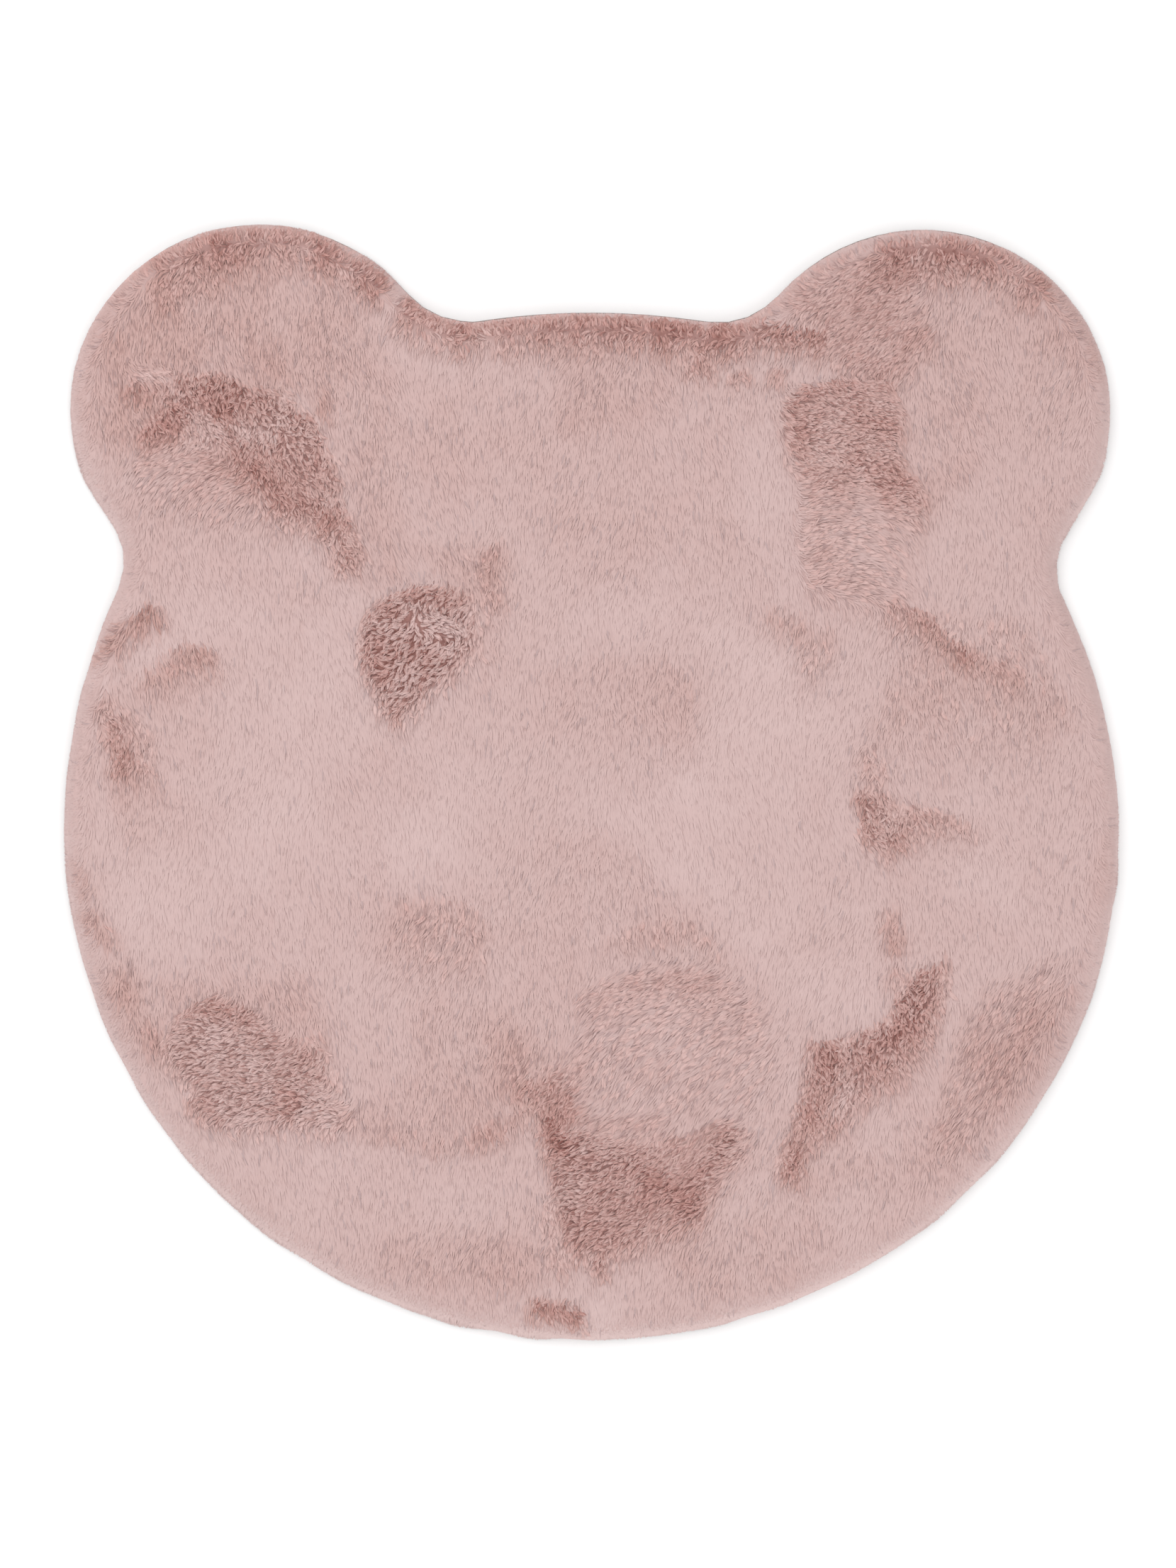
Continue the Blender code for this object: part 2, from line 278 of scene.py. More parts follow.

# What hands have left in the nap, one row for each mark. Points are in millimetres from the rug's
# centre, some 5 mm nearer the ears than the mark shows, because the hairs lie down towards the chin.
# lift is how far a mark raises the hairs, which also darkens them with painted shade: 0.1 where they
# stand up faintly and 1 where they are painted darkest, and negative where they lie flatter than
# usual, with less painted shade. locks is 1 where they part into locks, with dark hairs and a dark
# body between them as painted shadow. comb is the bearing that the hairs are combed to, if it isn't
# the nap's own, and heavy is the bearing of the side where a mark is crisp and strongest, if there is
# one. An area is a closed line whose edge fades over width, and a stroke is a line that reaches width
# to its sides, both in millimetres.
Mark = namedtuple("Mark", "name width lift locks path comb heavy", defaults=(None, None))
AREAS = [
    Mark("pale, left", 22, -0.6, 0.0, [
        (-335, 152), (-200, 150), (-190, 60), (-215, 5), (-250, -60), (-285, -115), (-350, -145),
        (-385, -110), (-375, -70), (-310, -45), (-300, 40), (-285, 112), (-340, 128)]),
    Mark("pale, middle left", 20, -0.9, 0.0, [(-180, -10), (-100, -20), (-80, -60), (-160, -75)]),
    Mark("pale, right", 14, -0.5, 0.0, [
        (20, 170), (90, 145), (150, 120), (262, 115), (228, 75), (205, 20), (205, -20), (235, -90),
        (225, -190), (150, -165), (100, -100), (55, -68), (5, -15), (60, 2), (95, 40), (90, 90), (60, 122),
        (-15, 138)]),
    Mark("pale, right ear", 10, -0.3, 0.0, [
        (112, 300), (146, 300), (147, 275), (158, 240), (160, 170), (130, 200)]),
    Mark("pale, chin", 8, -0.9, 0.0, [(0, -398), (25, -402), (20, -432), (-8, -432)]),
    Mark("pale, lower right", 15, -0.35, 0.0, [(265, -60), (350, -50), (345, -85), (290, -95)]),
    Mark("forehead", 22, 0.07, 0.0, [
        (-170, 335), (100, 300), (120, 200), (40, 190), (-60, 215), (-160, 270)]),
    Mark("brow", 14, 0.12, 0.1, [(-28, 352), (105, 345), (95, 320), (40, 300), (-22, 288)]),
    Mark("left ear, outer", 18, 0.25, 0.1, [
        (-382, 262), (-402, 305), (-396, 360), (-355, 412), (-290, 438), (-245, 425), (-262, 370),
        (-230, 325), (-262, 305), (-345, 290), (-352, 270)]),
    Mark("left ear, right", 14, 0.15, 0.1, [
        (-248, 390), (-215, 410), (-185, 390), (-160, 350), (-163, 260), (-150, 163), (-175, 158),
        (-203, 262), (-225, 312), (-262, 360)]),
    Mark("left ear, top tuft", 10, 0.2, 0.3, [
        (-352, 422), (-300, 434), (-288, 415), (-303, 398), (-328, 388), (-332, 374), (-350, 378)]),
    Mark("left arc", 6, 0.5, 0.9, [
        (-350, 292), (-345, 317), (-328, 331), (-290, 327), (-245, 311), (-222, 290), (-203, 240),
        (-182, 188), (-182, 160), (-206, 178), (-228, 202), (-258, 206), (-280, 243), (-298, 262),
        (-330, 268)], heavy=60),
    Mark("left ear, combed", 14, 0.22, 0.35, [
        (-345, 275), (-300, 268), (-272, 240), (-270, 212), (-310, 198), (-352, 212), (-374, 228),
        (-378, 262)], comb=190, heavy=70),
    Mark("round tuft", 5, 0.35, 1.0, [
        (-178, 138), (-160, 154), (-135, 160), (-108, 156), (-95, 142), (-96, 112), (-108, 92), (-146, 60),
        (-157, 50), (-169, 68), (-185, 95), (-185, 116)], comb=218),
    Mark("beside the tuft", 13, 0.12, 0.15, [(-150, 195), (-70, 198), (-62, 150), (-90, 85), (-100, 150)]),
    Mark("left edge, band", 9, 0.5, 0.3, [
        (-366, 82), (-336, 112), (-302, 116), (-300, 96), (-318, 82), (-352, 72)], heavy=100),
    Mark("left edge, shade", 10, 0.08, 0.25, [
        (-398, 72), (-368, 72), (-350, 32), (-352, 5), (-380, 5), (-395, 30)]),
    Mark("left edge, lower shade", 14, 0.25, 0.1, [
        (-388, 30), (-350, 12), (-325, -18), (-335, -42), (-370, -48), (-385, -10)], heavy=130),
    Mark("lower left", 8, 0.2, 0.7, [
        (-345, -215), (-330, -187), (-300, -170), (-265, -185), (-240, -210), (-212, -220), (-210, -245),
        (-190, -262), (-200, -275), (-300, -274), (-325, -262), (-315, -245)], comb=184),
    Mark("lower left, above", 14, 0.12, 0.1, [
        (-345, -152), (-290, -150), (-225, -148), (-212, -200), (-300, -185), (-342, -185)]),
    Mark("over the lower line", 14, 0.12, 0.1, [
        (-140, -165), (-85, -165), (-45, -205), (-60, -235), (-110, -255), (-150, -235)]),
    Mark("lower line", 9, 0.2, 0.2, [
        (-198, -272), (-160, -282), (-128, -292), (-90, -284), (-58, -265), (-70, -230), (-130, -235),
        (-200, -250)], heavy=270),
    Mark("middle patch", 13, 0.25, 0.3, [
        (-158, -88), (-110, -86), (-80, -110), (-88, -150), (-118, -168), (-148, -150),
        (-160, -120)], heavy=60),
    Mark("round patch", 12, 0.09, 0.1, [
        (-45, 95), (0, 106), (60, 106), (80, 86), (86, 60), (76, 30), (58, 8), (15, 3), (-15, 25),
        (-40, 55)], heavy=50),
    Mark("dome", 12, 0.06, 0.1, [
        (-72, -55), (-30, -32), (10, -35), (40, -58), (57, -88), (92, -122), (60, -118), (20, -122),
        (-15, -170), (-35, -215), (-95, -215), (-100, -150), (-78, -90)], heavy=45),
    Mark("left of the oval", 13, 0.25, 0.4, [
        (-80, -195), (-40, -205), (0, -215), (-8, -272), (-45, -262), (-78, -232)], comb=245, heavy=290),
    Mark("oval", 16, 0.06, 0.35, [
        (-18, -205), (5, -168), (38, -149), (75, -141), (115, -155), (145, -185), (152, -225), (132, -265),
        (95, -278), (40, -290), (-10, -280), (-26, -245)], comb=203, heavy=80),
    Mark("under the oval", 9, 0.52, 0.85, [
        (-30, -276), (0, -278), (45, -284), (85, -277), (105, -267), (122, -272), (118, -305), (98, -332),
        (84, -352), (56, -366), (20, -374), (-10, -378), (-22, -365), (-28, -335)], comb=196, heavy=170),
    Mark("chin, left", 11, 0.14, 0.1, [
        (-168, -358), (-100, -348), (-50, -360), (-20, -388), (-60, -402), (-125, -396), (-168, -388)]),
    Mark("chin, right", 14, 0.12, 0.1, [
        (60, -372), (120, -340), (175, -335), (205, -362), (160, -398), (90, -410)]),
    Mark("right ear, left", 12, 0.3, 0.35, [
        (146, 382), (182, 412), (222, 425), (262, 425), (268, 395), (278, 360), (252, 325), (240, 300),
        (215, 330), (182, 348), (180, 368)], comb=220),
    Mark("right ear, middle", 14, 0.08, 0.05, [
        (275, 398), (320, 415), (372, 370), (398, 320), (398, 275), (350, 285), (300, 262), (268, 232),
        (252, 280), (262, 330)]),
    Mark("right ear, outer", 12, 0.2, 0.1, [
        (355, 405), (378, 398), (402, 360), (412, 318), (396, 330), (378, 350), (365, 380)]),
    Mark("right patch", 8, 0.26, 0.55, [
        (148, 300), (162, 318), (200, 325), (236, 326), (246, 300), (241, 270), (268, 226), (256, 204),
        (236, 222), (222, 236), (172, 232), (160, 262), (152, 285)], comb=352),
    Mark("right patch, lower", 12, 0.22, 0.35, [
        (168, 248), (225, 240), (262, 208), (258, 175), (275, 150), (240, 140), (200, 145), (172, 158),
        (164, 200)], comb=24, heavy=180),
    Mark("right arc, shade", 14, 0.13, 0.2, [
        (238, 135), (262, 142), (300, 146), (340, 138), (368, 100), (388, 55), (350, 35), (310, 10),
        (262, 5), (240, -25), (212, -35), (214, 10), (228, 60)], heavy=70),
    Mark("right wedge", 8, 0.42, 0.7, [
        (211, -2), (232, -6), (268, -18), (296, -30), (266, -40), (232, -56), (216, -48)], heavy=190),
    Mark("lower wedge", 8, 0.62, 1.0, [
        (282, -138), (259, -150), (238, -182), (222, -193), (205, -204), (176, -204), (172, -250),
        (158, -284), (156, -310), (166, -312), (180, -292), (200, -275), (226, -245), (250, -230),
        (268, -205), (280, -172)], heavy=110),
    Mark("lower right", 16, 0.18, 0.2, [
        (390, -138), (358, -138), (320, -156), (298, -195), (281, -245), (272, -290), (292, -305),
        (322, -272), (356, -222), (383, -180)], comb=240),
    Mark("lower right, faint", 16, 0.1, 0.1, [
        (105, -320), (150, -335), (210, -310), (240, -320), (285, -315), (292, -270), (262, -255),
        (240, -290), (205, -290), (150, -318)]),
]
STROKES = [
    Mark("left ear, parting", 9, 0.4, 0.6, [
        (-345, 424), (-300, 435), (-255, 440), (-230, 436), (-212, 430)], heavy=100),
    Mark("left ear, parting end", 7, 0.58, 0.7, [
        (-214, 424), (-198, 419), (-185, 412), (-172, 402)], heavy=50),
    Mark("left ear, upper left", 10, 0.12, 0.3, [(-384, 390), (-368, 404), (-352, 418)]),
    Mark("head, parting, left", 7, 0.65, 0.8, [
        (-145, 381), (-131, 373), (-118, 367), (-104, 363)], heavy=50),
    Mark("head, parting, middle", 6, 0.48, 0.7, [
        (-104, 363), (-75, 366), (-60, 366), (-35, 368), (-8, 369)], heavy=90),
    Mark("head, parting, right", 7, 0.72, 0.8, [(-8, 368), (15, 368), (38, 367)], heavy=90),
    Mark("head, parting, darkest", 7, 0.82, 0.9, [(54, 365), (68, 363), (86, 362), (104, 361)], heavy=90),
    Mark("head, parting, right end", 7, 0.7, 0.8, [
        (112, 361), (135, 365), (160, 366), (184, 364)], heavy=90),
    Mark("head, right corner", 7, 0.25, 0.3, [(126, 371), (142, 377)]),
    Mark("head, under the parting", 8, 0.1, 0.2, [(-60, 354), (0, 354), (35, 352)]),
    Mark("right ear, parting", 10, 0.62, 0.8, [(240, 427), (264, 431), (292, 428), (312, 426)], heavy=90),
    Mark("right ear, under the parting", 12, 0.3, 0.5, [(296, 416), (262, 412), (243, 408)]),
    Mark("right ear, parting end", 8, 0.42, 0.5, [(328, 422), (343, 412), (358, 401)], heavy=50),
    Mark("right ear, lower shade", 12, 0.15, 0.1, [(302, 264), (276, 242), (262, 224)]),
    Mark("left arc, top", 9, 0.75, 0.8, [(-354, 288), (-340, 303), (-320, 312), (-300, 306)], heavy=100),
    Mark("left arc, outer", 8, 0.3, 0.8, [(-295, 318), (-262, 311), (-238, 296)], heavy=50),
    Mark("left arc, inner", 9, 0.45, 0.8, [(-285, 268), (-260, 241), (-245, 224), (-212, 218)]),
    Mark("left arc, middle", 10, -0.3, 0.8, [(-258, 286), (-246, 268)]),
    Mark("left arc, end", 9, 0.45, 0.7, [(-208, 208), (-195, 180)]),
    Mark("left arc, pale tufts", 5, -0.3, 0.8, [(-318, 293), (-305, 288), (-285, 283)], comb=290),
    Mark("left ear, pale tuft", 6, -0.5, 0.6, [(-366, 331), (-344, 327)], comb=20),
    Mark("left ear, under the tuft", 6, 0.4, 0.4, [(-372, 318), (-350, 315)]),
    Mark("left ear, spot", 8, 0.3, 0.2, [(-218, 313), (-216, 307)]),
    Mark("round tuft, top", 7, 0.4, 1.0, [(-146, 150), (-132, 155), (-108, 148)]),
    Mark("round tuft, left", 8, 0.2, 1.0, [(-180, 112), (-170, 92)]),
    Mark("round tuft, inner left", 8, 0.35, 1.0, [(-168, 122), (-165, 102)]),
    Mark("round tuft, pale", 12, -0.9, 0.35, [(-132, 130), (-114, 122)], comb=5),
    Mark("round tuft, low pale", 10, -0.3, 0.8, [(-150, 88), (-138, 86)]),
    Mark("beside the tuft, right", 9, 0.2, 0.3, [(-82, 186), (-80, 150)]),
    Mark("left edge, spot", 9, 0.62, 0.2, [(-394, 100), (-379, 122), (-357, 138)], heavy=130),
    Mark("left edge, pale line", 7, -0.8, -0.5, [(-396, 84), (-374, 104), (-343, 122)]),
    Mark("left edge, dark line", 9, 0.42, 0.6, [(-392, 60), (-389, 42), (-379, 22)], heavy=190),
    Mark("left edge, low spot", 9, 0.55, 0.2, [(-399, -106), (-387, -116)]),
    Mark("left edge, low shade", 8, 0.3, 0.1, [(-411, -66), (-406, -84)]),
    Mark("left edge, low line", 12, 0.3, 0.2, [(-376, -152), (-363, -185), (-347, -210)]),
    Mark("lower left, top", 9, 0.35, 0.7, [(-320, -182), (-298, -174), (-272, -182)], heavy=90),
    Mark("lower left, right", 12, 0.35, 0.7, [(-228, -210), (-216, -238)]),
    Mark("lower left, right spot", 8, 0.4, 0.7, [(-246, -254), (-240, -260)]),
    Mark("lower left, left spot", 8, 0.2, 0.7, [(-320, -254), (-300, -258)]),
    Mark("lower left, pale", 7, -0.4, 0.6, [(-288, -254), (-288, -262)]),
    Mark("lower line, end", 9, 0.2, 0.3, [(-95, -280), (-75, -274), (-56, -264)]),
    Mark("left of the oval, core", 12, 0.25, 0.5, [(-48, -244), (-27, -238), (-18, -262)]),
    Mark("oval, top", 12, 0.14, 0.3, [(2, -172), (30, -158), (75, -153), (95, -158)], comb=203),
    Mark("oval, bottom", 8, 0.18, 0.3, [(-6, -266), (30, -271), (60, -269)], comb=203),
    Mark("over the oval", 8, 0.12, 0.3, [(14, -118), (55, -109), (76, -108), (95, -122)], heavy=90),
    Mark("dark spot", 10, 1.0, 1.0, [(-30, -270), (-22, -290)]),
    Mark("under the oval, darkest", 13, 0.7, 0.8, [(52, -325), (78, -332), (80, -342)], comb=196),
    Mark("under the oval, right", 12, 0.3, 0.8, [(80, -330), (100, -305), (117, -282)], comb=196),
    Mark("under the oval, upper", 12, 0.25, 0.8, [(-10, -290), (30, -303), (50, -312)], comb=196),
    Mark("under the oval, lower", 8, 0.35, 0.8, [(8, -372), (6, -384)]),
    Mark("under the oval, left", 7, 0.15, 0.6, [(-34, -335), (-32, -355), (-26, -380)]),
    Mark("chin, dark spot", 7, 0.85, 0.7, [(-44, -416), (-30, -419), (-16, -423)]),
    Mark("chin, by the spot", 5, 0.2, 0.5, [(-16, -430), (-8, -436)], comb=320),
    Mark("right patch, top", 4, 0.35, 0.8, [(161, 305), (168, 312), (178, 318), (200, 323)]),
    Mark("right patch, core", 12, 0.35, 0.7, [(215, 292), (232, 288)], comb=352),
    Mark("right patch, pale", 9, -0.3, 0.3, [(175, 302), (182, 288)]),
    Mark("right patch, lower core", 13, 0.4, 0.7, [(210, 255), (236, 240)], comb=350),
    Mark("right patch, right", 9, 0.35, 0.6, [(241, 250), (250, 228)]),
    Mark("right patch, left", 7, 0.35, 0.5, [(158, 300), (163, 280), (170, 252)]),
    Mark("brow tufts, middle", 5, 0.3, 0.5, [(76, 334), (86, 339), (94, 333)]),
    Mark("brow tufts, right", 4, 0.35, 0.6, [(112, 325), (116, 328), (124, 332)]),
    Mark("brow tufts, end", 5, 0.35, 0.5, [(146, 330), (153, 332)]),
    Mark("right arc, top", 6, 0.36, 0.5, [
        (242, 147), (258, 141), (274, 131), (288, 117), (300, 107)], heavy=50),
    Mark("right arc, end", 9, 0.28, 0.4, [(306, 108), (324, 101), (340, 94)], heavy=50),
    Mark("right wedge, core", 8, 0.3, 0.7, [(228, -34), (242, -42)]),
    Mark("right wedge, upper", 9, 0.12, 0.4, [(222, 28), (228, 8)]),
    Mark("right wedge, tail", 7, 0.2, 0.4, [(256, -19), (280, -23), (300, -28)], heavy=90),
    Mark("right streak, left", 9, 0.25, 0.2, [(150, 143), (166, 136), (174, 116), (178, 92)], heavy=90),
    Mark("right streak, right", 8, 0.3, 0.3, [(189, 122), (191, 105)]),
    Mark("right short mark", 8, 0.4, 0.3, [(238, -104), (242, -124)]),
    Mark("right edge", 9, 0.15, 0.0, [(411, -40), (409, -86)]),
    Mark("lower wedge, top", 10, 0.8, 0.9, [(266, -166), (258, -184), (247, -195), (228, -209)]),
    Mark("lower wedge, side", 9, 0.2, 0.3, [(243, -150), (249, -166)]),
    Mark("lower wedge, left", 9, 0.6, 0.9, [(190, -214), (187, -231)]),
    Mark("lower wedge, middle", 8, 0.25, 0.8, [(174, -258), (172, -268)]),
    Mark("lower wedge, end", 8, 0.35, 0.8, [(164, -292), (162, -308)]),
    Mark("lower wedge, pale", 8, -0.6, 0.7, [(207, -243), (200, -257)]),
    Mark("lower right, core", 17, 0.14, 0.2, [(322, -220), (345, -212), (362, -185)]),
]


def outline_of(node):
    """The node's widest ring of points, seen from above, counter-clockwise from -X."""
    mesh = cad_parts[node].data
    points = np.round(points_of(mesh), 5)
    widest = points[points[:, 0] == points[:, 0].max()][0]
    ring = np.unique(points[points[:, 2] == widest[2]][:, :2], axis=0)
    return ring[np.argsort(np.arctan2(ring[:, 1], ring[:, 0]))]


def points_of(mesh):
    """The mesh's points, one row for each."""
    points = np.empty(len(mesh.vertices) * 3)
    mesh.vertices.foreach_get("co", points)
    return points.reshape(-1, 3)


def smoothstep(start, end, value):
    share = np.clip((value - start) / (end - start), 0.0, 1.0)
    return share * share * (3.0 - 2.0 * share)


def offset_from_path(x, y, path, closed):
    """How far each point is from a line through the path's points, and its offset from there."""
    path = np.asarray(path, dtype=float)
    ends = np.roll(path, -1, axis=0) if closed else path[1:]
    nearest = np.full(x.shape, np.inf)
    offset_x, offset_y = np.zeros(x.shape), np.zeros(x.shape)
    for (x0, y0), (x1, y1) in zip(path, ends):
        run_x, run_y = x1 - x0, y1 - y0
        share = ((x - x0) * run_x + (y - y0) * run_y) / (run_x**2 + run_y**2)
        share = np.clip(share, 0.0, 1.0)
        from_x, from_y = x - x0 - share * run_x, y - y0 - share * run_y
        distance = np.hypot(from_x, from_y)
        closer = distance < nearest
        nearest = np.where(closer, distance, nearest)
        offset_x, offset_y = np.where(closer, from_x, offset_x), np.where(closer, from_y, offset_y)
    return nearest, offset_x, offset_y


def lies_within(x, y, path):
    """Whether each point is inside the closed line."""
    inside = np.zeros(x.shape, dtype=bool)
    for (x0, y0), (x1, y1) in zip(path, np.roll(path, -1, axis=0)):
        if y0 != y1:
            crosses = (y0 > y) != (y1 > y)
            inside ^= crosses & (x < x0 + (y - y0) * (x1 - x0) / (y1 - y0))
    return inside


def smooth_noise(size, seed):
    """Noise over the nap map, from about -1 to 1, whose lumps are size metres across."""
    rng = np.random.default_rng(seed)
    count = int(2 * MAP_REACH / size) + 3
    corners = rng.uniform(-1.0, 1.0, (count, count))
    place = (MAP_AXIS + MAP_REACH) / size
    cell = place.astype(int)
    share = smoothstep(0.0, 1.0, place - cell)
    rows = corners[cell] * (1 - share[:, None]) + corners[cell + 1] * share[:, None]
    return rows[:, cell] * (1 - share) + rows[:, cell + 1] * share


def layered_noise(layers, total=0.0):
    """The layers of noise added up, over the nap map."""
    for amount, size, seed in layers:
        total = total + amount * smooth_noise(size, seed)
    return total


def sample(field, x, y):
    """A map's values at any points, from the four cells around each."""
    last = len(MAP_AXIS) - 1.001
    across = np.clip((x + MAP_REACH) / CELL, 0, last)
    up = np.clip((y + MAP_REACH) / CELL, 0, last)
    column, row = across.astype(int), up.astype(int)
    share_x, share_y = across - column, up - row
    lower = field[row, column] * (1 - share_x) + field[row, column + 1] * share_x
    upper = field[row + 1, column] * (1 - share_x) + field[row + 1, column + 1] * share_x
    return lower * (1 - share_y) + upper * share_y


def turned_by(direction_x, direction_y, angle):
    """Each direction turned by its angle."""
    cosine, sine = np.cos(angle), np.sin(angle)
    return direction_x * cosine - direction_y * sine, direction_x * sine + direction_y * cosine


def softened(field, reach):
    """The map with each cell as the mean of its neighbours on all sides, twice."""
    cells = round(reach / CELL)
    for axis in (0, 1, 0, 1):
        field = np.mean([np.roll(field, step, axis=axis) for step in range(-cells, cells + 1)], axis=0)
    return field


MAP_AXIS = np.arange(-MAP_REACH, MAP_REACH + CELL / 2, CELL)
MAP_X, MAP_Y = np.meshgrid(MAP_AXIS, MAP_AXIS)
OUTLINE = outline_of("pile")


def inside_distance():
    """Each cell's distance inside the outline, negative outside it."""
    distance, _, _ = offset_from_path(MAP_X, MAP_Y, OUTLINE, True)
    return np.where(lies_within(MAP_X, MAP_Y, OUTLINE), distance, -distance)


def mark_strength(mark, closed, ragged):
    """Each cell's share of a mark, from 0 to 1: an area's edge is soft, and so are a stroke's sides."""
    width = mark.width * MM
    path = np.array(mark.path) * MM
    low = np.searchsorted(MAP_AXIS, path.min(axis=0) - MARK_REACH * width)
    high = np.searchsorted(MAP_AXIS, path.max(axis=0) + MARK_REACH * width)
    window = (slice(low[1], high[1]), slice(low[0], high[0]))
    x, y = MAP_X[window], MAP_Y[window]
    distance, offset_x, offset_y = offset_from_path(x, y, path, closed)
    outward = np.where(lies_within(x, y, path), -1.0, 1.0) if closed else 1.0
    evenness = 1.0
    if mark.heavy is not None:
        heavy_x, heavy_y = math.cos(math.radians(mark.heavy)), math.sin(math.radians(mark.heavy))
        facing = outward * (offset_x * heavy_x + offset_y * heavy_y) / np.maximum(distance, TINY)
        width = width * (1.0 - CRISP_SIDE * facing)
        if closed:
            across = path @ np.array([heavy_x, heavy_y])
            place = (x * heavy_x + y * heavy_y - across.min()) / np.ptp(across)
            evenness = 1.0 - HEAVY_FADE * np.clip(1.0 - place, 0.0, 1.0)
    distance = distance * outward + ragged[window] * min(mark.width, RAGGED_WIDTH) * MM * RAGGED_SHARE
    strength = np.zeros_like(MAP_X)
    if closed:
        strength[window] = evenness * (1.0 - smoothstep(-width, width, distance))
    else:
        strength[window] = np.exp(-STROKE_FADE * (np.maximum(distance, 0) / width) ** 2)
    return strength


def nap_map():
    """Maps by name: the distance inside the edge, the outward direction's +Y, the hairs' direction,
    how far they are raised, parted into locks and tangled, and how many dark gap hairs there are,
    which paint shadows between wisps."""
    bearing = np.radians(NAP_BEARING + layered_noise(NAP_WANDER))
    nap_x, nap_y = np.cos(bearing), np.sin(bearing)
    ragged = layered_noise(MARK_RAGGED)
    flatness = np.ones_like(MAP_X)
    pressed = np.ones_like(MAP_X)
    locks = np.full_like(MAP_X, PLAIN_LOCKS)
    tangle = np.zeros_like(MAP_X)
    for mark, closed in [(mark, True) for mark in AREAS] + [(mark, False) for mark in STROKES]:
        strength = mark_strength(mark, closed, ragged)
        if mark.lift > 0:
            flatness *= 1.0 - mark.lift * strength
        else:
            pressed *= 1.0 + mark.lift * strength
        locks = np.maximum(locks, mark.locks * strength)
        if mark.comb is None:
            tangle = np.maximum(tangle, mark.locks * strength)
        else:
            comb = math.radians(mark.comb)
            nap_x = nap_x * (1 - strength) + math.cos(comb) * strength
            nap_y = nap_y * (1 - strength) + math.sin(comb) * strength
            tangle = tangle * (1 - strength) + COMBED_TANGLE * mark.locks * strength
    locks, tangle = softened(locks, LOCKS_SOFT), softened(tangle, TANGLE_SOFT)
    nap_x, nap_y = softened(nap_x, NAP_SOFT), softened(nap_y, NAP_SOFT)
    nap_x, nap_y = turned_by(nap_x, nap_y, np.radians(layered_noise(NAP_CURL)) * tangle)
    inside = inside_distance()
    locks = locks * smoothstep(*LOCKS_INSIDE, inside)
    fall_y, fall_x = np.gradient(inside, CELL)
    steepness = np.maximum(np.hypot(fall_x, fall_y), LEAST_SLOPE)
    out_x, out_y = -fall_x / steepness, -fall_y / steepness
    turned = 1.0 - smoothstep(*TURN_INSIDE, inside)
    nap_x = nap_x * (1 - turned) + out_x * turned
    nap_y = nap_y * (1 - turned) + out_y * turned
    length = np.maximum(np.hypot(nap_x, nap_y), TINY)
    # Uneven lift at random, which varies the hairs' heights and their painted shade
    uneven_lift = layered_noise(LIFT_PLAIN) + layered_noise(LIFT_LOCKS) * locks
    lift = PLAIN_LIFT * pressed + (1.0 - flatness) * pressed * layered_noise(LIFT_MARKED, 1.0) + uneven_lift
    lift = np.clip(lift, 0.0, 1.0) * smoothstep(*LIFT_INSIDE, inside)
    # Painted shadow: where dark gap hairs grow, more where hairs are raised and parted into locks
    gap_shadows = GAP_SHADOWS_OF_LIFT * np.maximum(lift - LIFT_WITHOUT_GAP_SHADOWS, 0.0)
    gap_shadows = gap_shadows + softened(locks, GAP_SHADOWS_SOFT) + layered_noise(GAP_SHADOWS_PATCHY)
    gap_shadows = np.clip(gap_shadows, 0.0, 1.0) * smoothstep(*GAP_SHADOWS_INSIDE, inside)
    return {
        "inside": inside, "out_y": out_y, "nap_x": nap_x / length, "nap_y": nap_y / length,
        "lift": lift, "locks": locks, "tangle": tangle, "gap_shadows": gap_shadows,
    }


NAP = nap_map()
WAVER = layered_noise(EDGE_WAVER)


def surface_map():
    """The height of the fur's body over the whole map: even where combed, lumpy where parted."""
    full = FLAT_HEIGHT + layered_noise(HEIGHT_PLAIN) + layered_noise(HEIGHT_LOCKS) * NAP["locks"]
    share = np.clip((NAP["inside"] - RIM_INSET) / (RIM_ROUND - RIM_INSET), 0.0, 1.0)
    return RIM_HEIGHT + (full - RIM_HEIGHT) * np.sqrt(1.0 - (1.0 - share) ** 2)


SURFACE = surface_map()


def inset_line(inset, spacing):
    """The outline drawn in by a distance, as evenly spaced points."""
    along = np.roll(OUTLINE, -1, axis=0) - np.roll(OUTLINE, 1, axis=0)
    along /= np.linalg.norm(along, axis=1, keepdims=True)
    line = OUTLINE - np.stack([along[:, 1], -along[:, 0]], axis=1) * inset
    closed = np.vstack([line, line[:1]])
    run = np.concatenate([[0.0], np.cumsum(np.linalg.norm(np.diff(closed, axis=0), axis=1))])
    stops = np.linspace(0.0, run[-1], int(run[-1] / spacing), endpoint=False)
    return np.stack([np.interp(stops, run, closed[:, axis]) for axis in (0, 1)], axis=1)


def lattice(spacing, least_inside, rng, jitter):
    """Points of a lattice of equal triangles that lie far enough inside the outline."""
    steps_x = np.arange(-MAP_REACH, MAP_REACH, spacing)
    steps_y = np.arange(-MAP_REACH, MAP_REACH, spacing * math.sqrt(0.75))
    x, y = np.meshgrid(steps_x, steps_y)
    x = x + spacing / 2 * (np.arange(len(steps_y)) % 2)[:, None]
    x = x.ravel() + rng.uniform(-jitter, jitter, x.size) * spacing
    y = y.ravel() + rng.uniform(-jitter, jitter, y.size) * spacing
    keep = sample(NAP["inside"], x, y) > least_inside
    return np.stack([x[keep], y[keep]], axis=1)


